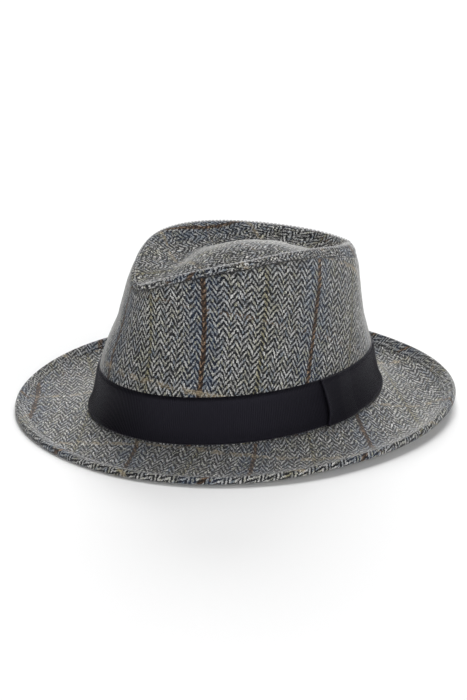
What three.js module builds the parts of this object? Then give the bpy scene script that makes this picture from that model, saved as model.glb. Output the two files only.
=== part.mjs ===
// A tweed fedora: a teardrop crown sewn from a side panel and a top, a snap brim with a bound edge,
// and a grosgrain ribbon with a flat bow on the wearer's left.
// Millimetres, +Z up. The front of the hat is towards -Y and the wearer's left towards +X.
// The origin is on the surface that the hat rests on, under the middle of its box.
import * as THREE from "three";

// Height of the seam between crown and brim above the surface that the hat rests on
const SEAM_HEIGHT = 5.8;

// Cloth thicknesses, and the gap between pieces that touch
const CROWN_WALL = 2.0;
const BRIM_THICKNESS = 2.2;
const BINDING_THICKNESS = 1.0;
const RIBBON_THICKNESS = 1.2;
const GAP = 0.3;

// How many straight sides go round the hat
const SIDES = 60;

// Rows with named columns
const table = (columns, ...rows) =>
  rows.map((row) => Object.fromEntries(columns.map((column, i) => [column, row[i]])));

// Rows of the crown's outer face, from its foot up to the ridge and in to the middle of the top.
// The heights are above the brim seam, at the front, the sides and the back. front and back are how far
// the row reaches from the head's middle, half_width is its reach to each side, side_y is where it is
// widest, and pinch narrows it towards the front. A corner under 1 fills the row out where it turns
// from side to front or back, and one over 1 cuts it.
const CROWN_ROWS = table(
  ["name", "height_front", "height_side", "height_back", "front", "back", "half_width", "side_y", "pinch",
    "front_corner", "back_corner"],
  ["foot", -3, -3, -3, 109.3, 109.3, 85.6, 0, 0, 1, 1],
  ["brim_seam", 1, 1, 1, 109, 109, 85.3, 0, 0, 1, 1],
  ["break", 7, 7, 7, 106.4, 106.4, 82.5, 0, 0, 1, 1],
  ["under_ribbon", 17, 17, 17, 104, 104, 79.8, 0, 0, 1, 1],
  ["ribbon_top", 31, 31, 31, 101.7, 101.7, 77.2, 0, 0.01, 1, 1],
  ["lower_side", 46.9, 48.4, 46.4, 98, 98.2, 72.6, -2, 0.07, 1, 1],
  ["middle_side", 63, 68.3, 61.5, 92.9, 97.6, 66.1, -4, 0.21, 1, 0.96],
  ["upper_side", 80.5, 92, 73.5, 89.3, 97.6, 57.8, -8.6, 0.38, 0.96, 0.88],
  ["top_seam", 94, 108.2, 82, 86.4, 96.2, 48.6, -12.1, 0.54, 0.9, 0.81],
  ["shoulder", 96, 111.2, 91, 85.2, 94.2, 47.6, -12.8, 0.58, 0.885, 0.785],
  ["ridge", 97.4, 113, 94.1, 83.3, 91.6, 46, -13.3, 0.595, 0.885, 0.78],
  ["lip", 97.2, 110.6, 92.8, 77.6, 87.6, 41.6, -12.2, 0.57, 0.88, 0.82],
  ["inner_wall", 96.4, 102.6, 89, 66, 82, 35.8, -8, 0.5, 0.9, 0.87],
  ["crease", 96.2, 98.4, 87.6, 52, 74, 29.4, -3, 0.38, 0.95, 0.95],
  ["mound_flank", 100.6, 101.6, 94.6, 35, 56, 21, 2, 0.2, 1, 1],
  ["mound_top", 105.4, 105.6, 103.4, 12, 30, 9, 6, 0.05, 1, 1],
);
const CROWN_MIDDLE = { y: 7, height: 106.6 };
// How sharply a row's height falls away towards the front and towards the back
const FRONT_FALL = 2.4;
const BACK_FALL = 1.7;
const rowNamed = (name) => CROWN_ROWS.findIndex((row) => row.name === name);
const RIBBON_TOP_ROW = rowNamed("ribbon_top");
const TOP_SEAM_ROW = rowNamed("top_seam");
// The side panel and the top each stop this share of a row short of their seam
const SEAM_CLEARANCE = 0.05;

// The brim's outline: its reach to front, back and side, and how full its corners are
const BRIM = { front: 153.2, back: 149.9, half_width: 142, corner: 0.95 };
// Sections through the brim, by their turn in degrees from the front, the same on both sides.
// edge and low are heights of the top face above the seam, and low_at is where it is lowest,
// as a share of the way from crown to edge.
const BRIM_SECTIONS = table(
  ["turn", "edge", "low", "low_at"],
  [0, -2.5, -3, 0.8],
  [45, -1.2, -3.4, 0.7],
  [90, 1.7, -3.8, 0.6],
  [135, 4.6, -4, 0.54],
  [180, 3.4, -4, 0.52],
);
// The shares of the way from crown to edge at which the brim has its rings, before the binding
const BRIM_RINGS = [0, 0.12, 0.26, 0.4, 0.5, 0.6, 0.72];

// The binding is a strip of the same cloth folded over the brim's edge
const BINDING_WIDTH = 6.5;

// The ribbon starts just above the brim, and ends at its own row of the crown
const RIBBON_FOOT_ROW = 0.95;
const RIBBON_STEPS = 5;

// The bow is a flat folded tab over the ribbon: where it starts and ends round the hat, in degrees
const BOW = { from: 92.5, to: 110.5, thickness: 2.0, gap: 0.5, steps_round: 6, steps_up: 5 };

// Smooth curve through the values of one named column, at a place between rows
function columnAt(rows, name, place) {
  const last = rows.length - 1;
  const i = Math.min(Math.max(Math.floor(place), 0), last - 1);
  const t = place - i;
  const value = (k) => rows[Math.min(Math.max(k, 0), last)][name];
  const [a, b, c, d] = [value(i - 1), value(i), value(i + 1), value(i + 2)];
  return b + 0.5 * t * (c - a + t * (2 * a - 5 * b + 4 * c - d + t * (3 * (b - c) + d - a)));
}

const power = (value, exponent) => Math.sign(value) * Math.abs(value) ** exponent;

// Evenly spaced values, both ends included
const range = (from, to, steps) =>
  Array.from({ length: steps + 1 }, (_, i) => from + ((to - from) * i) / steps);

// The angles at which every ring of the hat has its corners
const TURNS = range(0, 2 * Math.PI, SIDES).slice(0, SIDES);

// A point of the crown's outer face: place is the row, turn goes from the front round by the wearer's left
function crownFace(place, turn) {
  const column = (name) => columnAt(CROWN_ROWS, name, place);
  const ahead = Math.max(Math.cos(turn), 0);
  const behind = Math.max(-Math.cos(turn), 0);
  const side = Math.sin(turn);
  const corner = column(ahead > 0 ? "front_corner" : "back_corner");
  const bend = 1 + (corner - 1) * Math.cos(turn) ** 2;
  const x = column("half_width") * power(side, bend) * (1 - column("pinch") * ahead ** 2);
  const y = column("back") * behind - column("front") * ahead + column("side_y") * side ** 2;
  const height =
    column("height_side") +
    (column("height_front") - column("height_side")) * ahead ** FRONT_FALL +
    (column("height_back") - column("height_side")) * behind ** BACK_FALL;
  return new THREE.Vector3(x, y, SEAM_HEIGHT + height);
}

// The direction square to a face at one of its points
function outward(face, place, turn) {
  const step = 1e-3;
  const along = face(place + step, turn).sub(face(place - step, turn));
  const around = face(place, turn + step).sub(face(place, turn - step));
  return around.cross(along).normalize();
}

// A point moved off a face by a distance, inwards where it is negative
function offFace(face, place, turn, distance) {
  return face(place, turn).addScaledVector(outward(face, place, turn), distance);
}

// A column of the brim's sections at an angle, eased between the sections
function brimSection(name, turn) {
  const step = BRIM_SECTIONS[1].turn - BRIM_SECTIONS[0].turn;
  const fromFront = THREE.MathUtils.radToDeg(Math.acos(Math.cos(turn)));
  const i = Math.min(Math.floor(fromFront / step), BRIM_SECTIONS.length - 2);
  const share = THREE.MathUtils.smoothstep(fromFront / step - i, 0, 1);
  return THREE.MathUtils.lerp(BRIM_SECTIONS[i][name], BRIM_SECTIONS[i + 1][name], share);
}

// A point of the brim's top face: share goes from the crown (0) to the brim's edge (1)
function brimFace(share, turn) {
  const away = outward(crownFace, 0, turn).setZ(0).normalize();
  const inner = crownFace(0, turn).addScaledVector(away, GAP);
  const edge = BINDING_THICKNESS + GAP;
  const reach = (Math.cos(turn) > 0 ? BRIM.front : BRIM.back) - edge;
  const outer = new THREE.Vector3(
    (BRIM.half_width - edge) * power(Math.sin(turn), BRIM.corner),
    -reach * power(Math.cos(turn), BRIM.corner),
    0,
  );
  const low = brimSection("low", turn);
  const lowAt = brimSection("low_at", turn);
  const rise = brimSection("edge", turn) - low;
  const height =
    share < lowAt ? low * (1 - (1 - share / lowAt) ** 2) : low + rise * ((share - lowAt) / (1 - lowAt)) ** 2;
  return inner.lerp(outer, share).setZ(SEAM_HEIGHT + height);
}

// A point over the brim's top face, or under it where the height is negative. The brim's shares run
// outwards from the crown, so the direction that outward gives for it is down.
const offBrim = (share, turn, height) => offFace(brimFace, share, turn, -height);

// The cloth is pressed flat where it rests on the surface
const resting = (point) => point.setZ(Math.max(point.z, 0));

// A point of the brim's underside. Its inner edge is cut upright, to stand beside the crown's wall.
function brimUnderside(share, turn) {
  if (share > 0) {
    return resting(offBrim(share, turn, -BRIM_THICKNESS));
  }
  const edge = brimFace(0, turn);
  return edge.setZ(edge.z - BRIM_THICKNESS);
}

// The share of the way to the brim's edge at which the binding starts, and the one at its middle
function bindingShares(turn) {
  const width = brimFace(0, turn).distanceTo(brimFace(1, turn));
  return [1 - BINDING_WIDTH / width, 1 - BINDING_WIDTH / width / 2];
}

// A geometry from corner points and triangles of their numbers
function meshOf(points, triangles) {
  const geometry = new THREE.BufferGeometry();
  geometry.setAttribute(
    "position",
    new THREE.Float32BufferAttribute(points.flatMap((p) => [p.x, p.y, p.z]), 3),
  );
  geometry.setIndex(triangles.flat());
  geometry.computeVertexNormals();
  return geometry;
}

// Two triangles for each cell between two neighbouring closed loops of corners, which start at a and b
function stripBetween(a, b, count) {
  const triangles = [];
  for (let i = 0; i < count; i++) {
    const j = (i + 1) % count;
    triangles.push([a + i, a + j, b + j], [a + i, b + j, b + i]);
  }
  return triangles;
}

// A closed ring whose section, a loop of points, changes with the angle
function ringSolid(sectionAt) {
  const sections = TURNS.map(sectionAt);
  const loop = sections[0].length;
  const triangles = sections.flatMap((_, i) => stripBetween(loop * ((i + 1) % SIDES), loop * i, loop));
  return meshOf(sections.flat(), triangles);
}

// A closed dome: from a pole on the inner face down to the edge, and up the outer face to a second pole
function domeSolid(outerRings, outerPole, innerRings, innerPole) {
  const rings = [...innerRings.toReversed(), ...outerRings];
  const points = [...rings.flat(), outerPole, innerPole];
  const triangles = [];
  for (let r = 0; r < rings.length - 1; r++) {
    triangles.push(...stripBetween(SIDES * r, SIDES * (r + 1), SIDES));
  }
  const lastRing = SIDES * (rings.length - 1);
  const [top, bottom] = [points.length - 2, points.length - 1];
  for (let i = 0; i < SIDES; i++) {
    const j = (i + 1) % SIDES;
    triangles.push([lastRing + i, lastRing + j, top], [j, i, bottom]);
  }
  return meshOf(points, triangles);
}

// The side panel: one length of cloth round the head, from the brim seam up to the seam with the top
function crownSide() {
  const places = [...range(0, TOP_SEAM_ROW - 1, TOP_SEAM_ROW - 1), TOP_SEAM_ROW - 0.5];
  places.push(TOP_SEAM_ROW - SEAM_CLEARANCE);
  return ringSolid((turn) => [
    ...places.map((place) => offFace(crownFace, place, turn, 0)),
    ...places.toReversed().map((place) => offFace(crownFace, place, turn, -CROWN_WALL)),
  ]);
}

// The top: one piece of cloth shaped into a teardrop dent, with a low mound in its floor
function crownTip() {
  const lastRow = CROWN_ROWS.length - 1;
  const ringsPerRow = 2;
  const places = range(TOP_SEAM_ROW + 1, lastRow, ringsPerRow * (lastRow - TOP_SEAM_ROW - 1));
  places.unshift(TOP_SEAM_ROW + SEAM_CLEARANCE);
  const rings = (distance) =>
    places.map((place) => TURNS.map((turn) => offFace(crownFace, place, turn, distance)));
  const pole = new THREE.Vector3(0, CROWN_MIDDLE.y, SEAM_HEIGHT + CROWN_MIDDLE.height);
  return domeSolid(rings(0), pole, rings(-CROWN_WALL), pole.clone().setZ(pole.z - CROWN_WALL));
}

// The brim: two layers of cloth sewn together as one sheet
function brim() {
  return ringSolid((turn) => {
    const shares = [...BRIM_RINGS, ...bindingShares(turn), 1];
    return [
      ...shares.toReversed().map((share) => brimFace(share, turn)),
      ...shares.map((share) => brimUnderside(share, turn)),
    ];
  });
}

// The binding: a strip that wraps the brim's edge, top and bottom
function brimBinding() {
  const inside = GAP;
  const outside = GAP + BINDING_THICKNESS;
  const under = -BRIM_THICKNESS;
  return ringSolid((turn) => {
    const [start, middle] = bindingShares(turn);
    const beyond = brimFace(1, turn).sub(brimFace(1 - 1e-3, turn)).normalize();
    const at = (share, height) => resting(offBrim(share, turn, height));
    const past = (distance, height) => resting(offBrim(1, turn, height).addScaledVector(beyond, distance));
    return [
      at(start, inside),
      at(middle, inside),
      past(inside, inside),
      past(inside, under - inside),
      at(middle, under - inside),
      at(start, under - inside),
      at(start, under - outside),
      at(middle, under - outside),
      at(1, under - outside),
      past(outside, under),
      past(outside, 0),
      at(1, outside),
      at(middle, outside),
      at(start, outside),
    ];
  });
}

// The ribbon: a band of grosgrain sewn round the foot of the crown
function hatBand() {
  const places = range(RIBBON_FOOT_ROW, RIBBON_TOP_ROW, RIBBON_STEPS);
  return ringSolid((turn) => [
    ...places.map((place) => offFace(crownFace, place, turn, GAP + RIBBON_THICKNESS)),
    ...places.toReversed().map((place) => offFace(crownFace, place, turn, GAP)),
  ]);
}

// The bow: a short length of the ribbon folded flat over the join
function bow() {
  const places = range(RIBBON_FOOT_ROW, RIBBON_TOP_ROW, BOW.steps_up);
  const { degToRad } = THREE.MathUtils;
  const turns = range(degToRad(BOW.from), degToRad(BOW.to), BOW.steps_round);
  const inner = GAP + RIBBON_THICKNESS + BOW.gap;
  const row = (place, distance) => turns.map((turn) => offFace(crownFace, place, turn, distance));
  // Loops round the tab, from its foot to its top: along the outer face and back along the inner one
  const loops = places.map((place) => [
    ...row(place, inner + BOW.thickness),
    ...row(place, inner).toReversed(),
  ]);
  const count = loops[0].length;
  const lastLoop = count * (loops.length - 1);
  const triangles = [];
  for (let start = 0; start < lastLoop; start += count) {
    triangles.push(...stripBetween(start, start + count, count));
  }
  // The foot and the top of the tab, cell by cell
  for (let a = 0; a < turns.length - 1; a++) {
    const b = a + 1;
    const c = count - 2 - a;
    const d = count - 1 - a;
    triangles.push([a, d, c], [a, c, b]);
    triangles.push([lastLoop + a, lastLoop + b, lastLoop + c], [lastLoop + a, lastLoop + c, lastLoop + d]);
  }
  return meshOf(loops.flat(), triangles);
}

const tweed = () => new THREE.MeshStandardMaterial({ color: 0x62636a, roughness: 0.95, metalness: 0 });
const grosgrain = () => new THREE.MeshStandardMaterial({ color: 0x1c1b20, roughness: 0.7, metalness: 0 });

const fedora = new THREE.Group();
for (const [name, geometry, material] of [
  ["crown_side", crownSide(), tweed()],
  ["crown_tip", crownTip(), tweed()],
  ["brim", brim(), tweed()],
  ["brim_binding", brimBinding(), tweed()],
  ["hat_band", hatBand(), grosgrain()],
  ["bow", bow(), grosgrain()],
]) {
  const mesh = new THREE.Mesh(geometry, material);
  mesh.name = name;
  fedora.add(mesh);
}
// The brim reaches further to the front than to the back, so the head's middle is behind the box's
fedora.position.y = (BRIM.front - BRIM.back) / 2;

export default fedora;
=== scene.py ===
"""A tweed fedora with a teardrop crown, a bound snap brim and a grosgrain ribbon with a flat bow.

Metres, Z up. The front of the hat is towards -Y and the wearer's left towards +X.
The outlines are worked out in millimetres, round the head's middle, as in the part's own source.
"""
import math
from functools import partial

import bpy
import numpy as np
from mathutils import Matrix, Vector


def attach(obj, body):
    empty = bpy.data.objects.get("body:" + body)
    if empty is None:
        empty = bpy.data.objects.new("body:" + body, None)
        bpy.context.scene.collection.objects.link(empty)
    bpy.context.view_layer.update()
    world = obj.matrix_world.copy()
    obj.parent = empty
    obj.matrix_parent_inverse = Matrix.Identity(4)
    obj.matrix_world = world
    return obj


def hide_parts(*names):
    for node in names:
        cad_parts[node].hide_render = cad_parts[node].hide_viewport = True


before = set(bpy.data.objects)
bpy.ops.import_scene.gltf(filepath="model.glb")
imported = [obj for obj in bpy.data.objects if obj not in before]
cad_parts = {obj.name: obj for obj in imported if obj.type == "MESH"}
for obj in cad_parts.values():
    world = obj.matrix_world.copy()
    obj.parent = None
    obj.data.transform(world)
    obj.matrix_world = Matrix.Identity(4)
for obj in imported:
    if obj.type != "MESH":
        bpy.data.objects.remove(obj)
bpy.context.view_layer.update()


# The crown's side panel.
# One curved length of fused wool tweed with its straight grain at the front. It is sewn to the top along
# the rim and to the brim at its foot, and joined to itself by a seam at the back.

HEAD_MIDDLE = 1.65  # how far behind the middle of the hat's box the middle of the head lies
SEAM_HEIGHT = 5.8
CROWN_WALL = 2.0
GAP = 0.3

# Rows of the crown's outer face, from its foot up to the ridge and in to the middle of the top
CROWN_ROWS = {
    "height_front": [-3, 1, 7, 17, 31, 46.9, 63, 80.5, 94, 96, 97.4, 97.2, 96.4, 96.2, 100.6, 105.4],
    "height_side": [-3, 1, 7, 17, 31, 48.4, 68.3, 92, 108.2, 111.2, 113, 110.6, 102.6, 98.4, 101.6, 105.6],
    "height_back": [-3, 1, 7, 17, 31, 46.4, 61.5, 73.5, 82, 91, 94.1, 92.8, 89, 87.6, 94.6, 103.4],
    "front": [109.3, 109, 106.4, 104, 101.7, 98, 92.9, 89.3, 86.4, 85.2, 83.3, 77.6, 66, 52, 35, 12],
    "back": [109.3, 109, 106.4, 104, 101.7, 98.2, 97.6, 97.6, 96.2, 94.2, 91.6, 87.6, 82, 74, 56, 30],
    "half_width": [85.6, 85.3, 82.5, 79.8, 77.2, 72.6, 66.1, 57.8, 48.6, 47.6, 46, 41.6, 35.8, 29.4, 21, 9],
    "side_y": [0, 0, 0, 0, 0, -2, -4, -8.6, -12.1, -12.8, -13.3, -12.2, -8, -3, 2, 6],
    "pinch": [0, 0, 0, 0, 0.01, 0.07, 0.21, 0.38, 0.54, 0.58, 0.595, 0.57, 0.5, 0.38, 0.2, 0.05],
    "front_corner": [1, 1, 1, 1, 1, 1, 1, 0.96, 0.9, 0.885, 0.885, 0.88, 0.9, 0.95, 1, 1],
    "back_corner": [1, 1, 1, 1, 1, 1, 0.96, 0.88, 0.81, 0.785, 0.78, 0.82, 0.87, 0.95, 1, 1],
}
RIBBON_TOP_ROW = 4
TOP_SEAM_ROW = 8
FRONT_FALL = 2.4
BACK_FALL = 1.7


def column_at(name, place):
    """A named column of the crown's rows, on a smooth curve through them."""
    values = np.array(CROWN_ROWS[name], float)
    last = len(values) - 1
    i = np.clip(np.floor(place), 0, last - 1).astype(int)
    t = place - i
    a, b, c, d = (values[np.clip(i + k, 0, last)] for k in (-1, 0, 1, 2))
    return b + 0.5 * t * (c - a + t * (2 * a - 5 * b + 4 * c - d + t * (3 * (b - c) + d - a)))


def signed_power(value, exponent):
    return np.sign(value) * np.abs(value) ** exponent


def crown_face(place, turn):
    """Points of the crown's outer face. turn goes from the front round by the wearer's left."""
    place, turn = np.broadcast_arrays(np.asarray(place, float), np.asarray(turn, float))
    ahead = np.maximum(np.cos(turn), 0)
    behind = np.maximum(-np.cos(turn), 0)
    side = np.sin(turn)
    corner = np.where(ahead > 0, column_at("front_corner", place), column_at("back_corner", place))
    bend = 1 + (corner - 1) * np.cos(turn) ** 2
    x = column_at("half_width", place) * signed_power(side, bend)
    x = x * (1 - column_at("pinch", place) * ahead**2)
    y = column_at("back", place) * behind - column_at("front", place) * ahead
    y = y + column_at("side_y", place) * side**2
    level = column_at("height_side", place)
    z = level + (column_at("height_front", place) - level) * ahead**FRONT_FALL
    z = z + (column_at("height_back", place) - level) * behind**BACK_FALL
    return np.stack([x, y, SEAM_HEIGHT + z], -1)


def unit(vectors):
    return vectors / np.maximum(np.linalg.norm(vectors, axis=-1, keepdims=True), 1e-9)


def outward(face, place, turn):
    """The directions square to a face."""
    step = 1e-3
    along = face(place + step, turn) - face(place - step, turn)
    around = face(place, turn + step) - face(place, turn - step)
    return unit(np.cross(around, along))


def off_face(face, place, turn, distance):
    """Points off a face by a distance, inwards where it is negative."""
    place, turn = np.broadcast_arrays(place, turn)
    distance = np.broadcast_to(distance, place.shape)
    return face(place, turn) + outward(face, place, turn) * distance[..., None]


def running_length(points):
    """The length walked along the first axis of an array of points, from its start."""
    steps = np.linalg.norm(np.diff(points, axis=0), axis=-1)
    return np.concatenate([np.zeros_like(steps[:1]), np.cumsum(steps, axis=0)])


def ripple(points, wavelength, seed):
    """A soft unevenness of about -1 to 1, as cloth has after handling."""
    draw = np.random.default_rng(seed)
    total = 0
    for _ in range(9):
        wave = draw.normal(size=3)
        wave *= 2 * np.pi / (wavelength * draw.uniform(0.75, 1.5) * np.linalg.norm(wave))
        total = total + np.sin(points @ wave + draw.uniform(0, 2 * np.pi))
    return total / 4


def bell(distance, width):
    return np.exp(-((distance / width) ** 2))


def in_frame(points):
    """From millimetres round the head's middle to the shared frame."""
    return (points + [0, HEAD_MIDDLE, 0]) / 1000


def in_scene(name, data):
    piece = bpy.data.objects.new(name, data)
    bpy.context.scene.collection.objects.link(piece)
    return piece


def cells(grid):
    """The four corners of each cell of a grid of numbers."""
    corners = [grid[:-1, :-1], grid[:-1, 1:], grid[1:, 1:], grid[1:, :-1]]
    return np.stack(corners, -1).reshape(-1, 4).tolist()


def cloth_piece(name, rows, cloth, closed_section=True, poles=None, caps=False):
    """A piece from rows of points (mm) that each run once round it, with cloth coordinates (mm) for
    each point and for the end of each row. closed_section joins the last row to the first. poles are
    the points that close the ends of a dome, and caps closes both ends of a tab."""
    count, around = rows.shape[:2]
    points, cloth = rows.reshape(-1, 3), cloth.reshape(-1, 2)
    numbers = np.arange(count * around).reshape(count, around)
    ring = np.concatenate([numbers, numbers[:, :1]], 1)
    flat_ring = np.arange(count * (around + 1)).reshape(count, around + 1)
    if closed_section:
        ring = np.concatenate([ring, ring[:1]])
        flat_ring = np.concatenate([flat_ring, flat_ring[:1]])
    faces, loops = cells(ring), cells(flat_ring)
    if poles is not None:
        for grid, corners, pole in ((ring, faces, len(points)), (flat_ring, loops, len(cloth))):
            for i in range(around):
                corners.append([pole, grid[0, i + 1], grid[0, i]])
                corners.append([pole + 1, grid[-1, i], grid[-1, i + 1]])
        points = np.concatenate([points, poles[0]])
        cloth = np.concatenate([cloth, poles[1]])
    if caps:
        for row, order in ((0, 1), (-1, -1)):
            for i in range(around // 2 - 1):
                j = around - 1 - i
                cell = [(row, i), (row, j), (row, j - 1), (row, i + 1)][::order]
                faces.append([ring[k] for k in cell])
                loops.append([flat_ring[k] for k in cell])
    mesh = bpy.data.meshes.new(name)
    place = in_frame(points)
    # The faces point outwards where the volume that they enclose comes out positive
    four = np.array([face + face[-1:] * (4 - len(face)) for face in faces])
    a, b, c, d = (place[four[:, k]] for k in range(4))
    if np.sum(a * (np.cross(b, c) + np.cross(c, d))) < 0:
        faces = [face[::-1] for face in faces]
        loops = [loop[::-1] for loop in loops]
    mesh.from_pydata(place.tolist(), [], faces)
    layer = mesh.uv_layers.new(name="cloth")
    flat = cloth[[k for loop in loops for k in loop]] / 1000
    layer.data.foreach_set("uv", flat.astype(np.float32).ravel())
    mesh.shade_smooth()
    mesh.update()
    return in_scene(name, mesh)


def new_material(name):
    """A material with its node tree and its shader."""
    material = bpy.data.materials.new(name)
    material.use_nodes = True
    return material, material.node_tree, material.node_tree.nodes["Principled BSDF"]


def tree_input(tree, name, kind, value=None):
    socket = tree.interface.new_socket(name, in_out="INPUT", socket_type=kind)
    if value is not None:
        socket.default_value = value


def fed(tree, node, inputs):
    """The outputs of a node, once its inputs are set. Each is a number, a colour or a socket."""
    for key, value in inputs.items():
        if isinstance(value, bpy.types.NodeSocket):
            tree.links.new(value, node.inputs[key])
        elif isinstance(value, tuple):
            node.inputs[key].default_value = (*value, 1)
        else:
            node.inputs[key].default_value = value
    return node.outputs


def reckon(tree, operation, *values):
    """A Math node. Values are numbers or sockets."""
    node = tree.nodes.new("ShaderNodeMath")
    node.operation = operation
    return fed(tree, node, dict(enumerate(values)))[0]


def between(tree, value, low, high):
    """0 below low, 1 above high, and eased in between."""
    node = tree.nodes.new("ShaderNodeMapRange")
    node.interpolation_type = "SMOOTHSTEP"
    return fed(tree, node, {"Value": value, "From Min": low, "From Max": high})["Result"]


def mixed(tree, share, first, second, blend="MIX"):
    """One colour mixed with another."""
    node = tree.nodes.new("ShaderNodeMix")
    node.data_type = "RGBA"
    node.blend_type = blend
    return fed(tree, node, {0: share, 6: first, 7: second})[2]


def noise(tree, place, scale, detail=2.0, kind="Fac"):
    node = tree.nodes.new("ShaderNodeTexNoise")
    return fed(tree, node, {"Vector": place, "Scale": scale, "Detail": detail})[kind]


def in_millimetres(tree, vector):
    node = tree.nodes.new("ShaderNodeVectorMath")
    node.operation = "SCALE"
    return fed(tree, node, {0: vector, "Scale": 1000})[0]


def apart(tree, vector):
    """The three numbers of a vector or a colour."""
    return fed(tree, tree.nodes.new("ShaderNodeSeparateXYZ"), {0: vector})


def cloth_place(tree):
    """Where a point lies on its flat cloth, in metres."""
    node = tree.nodes.new("ShaderNodeUVMap")
    node.uv_map = "cloth"
    return node.outputs[0]


def add_bump(tree, shader, height, strength, distance):
    node = tree.nodes.new("ShaderNodeBump")
    normal = fed(tree, node, {"Strength": strength, "Distance": distance, "Height": height})[0]
    tree.links.new(normal, shader.inputs["Normal"])


END_PITCH = 0.8  # from one warp end to the next
PICK_PITCH = 1.15  # from one weft pick to the next
ENDS_IN_RIB = 5
STEP_OF_TWILL = 0.27  # how far each end's float is shifted, as a share of the repeat
REPEAT = 4 * PICK_PITCH
RIB_OFFSET = 0.33  # how far the floats of one rib are set off from the next rib's, as a share too
PHASE_JITTER = 0.12
WARP_LINES = 79.0  # between the brown lines of the overcheck, with an olive one halfway
WEFT_LINES = 84.0  # between its cream lines, with a russet one halfway
HALF_WIDTH = {"brown": 1.4, "brown_weft": 1.6, "olive": 1.1, "cream": 1.7, "russet": 1.3}
LINE_BLUR = 0.3
BLUE_STRIPE = (5.0, 15.0)  # it fades out between these distances from a brown line
OLIVE_STRIPE = (2.0, 12.0)  # and this one from an olive line
SLOW_DRIFT = (1.8, 2.6)  # how far the yarns wander over a few centimetres, across and along
QUICK_DRIFT = (0.8, 1.9)  # how far they wander from float to float
RUBBED_DRIFT = (1.0, 4.0)  # and how much further where the nap is rubbed up
LIGHT_YARN = (0.52, 0.518, 0.505)
GREY_YARN = (0.12, 0.12, 0.122)
DARK_YARN = (0.008, 0.0085, 0.011)
SMOKE_YARN = (0.06, 0.06, 0.062)
BROWN_YARN = (0.05, 0.028, 0.018)
DEEP_BROWN_YARN = (0.02, 0.012, 0.008)
TAN_YARN = (0.27, 0.18, 0.115)
OLIVE_YARN = (0.2, 0.18, 0.085)
MOSS_WARP = (0.28, 0.275, 0.19)
BLUE_WARP = (0.1, 0.14, 0.19)
BLUE_WEFT = (0.011, 0.021, 0.05)
CREAM_YARN = (0.34, 0.28, 0.185)
RUSSET_YARN = (0.13, 0.085, 0.055)
LOOSE_FIBRE = (0.08, 0.08, 0.08)
# The light grey of the painted sheen on the raised fibres, seen edge-on
PAINTED_FIBRE_SHEEN = (0.55, 0.55, 0.53)


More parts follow.
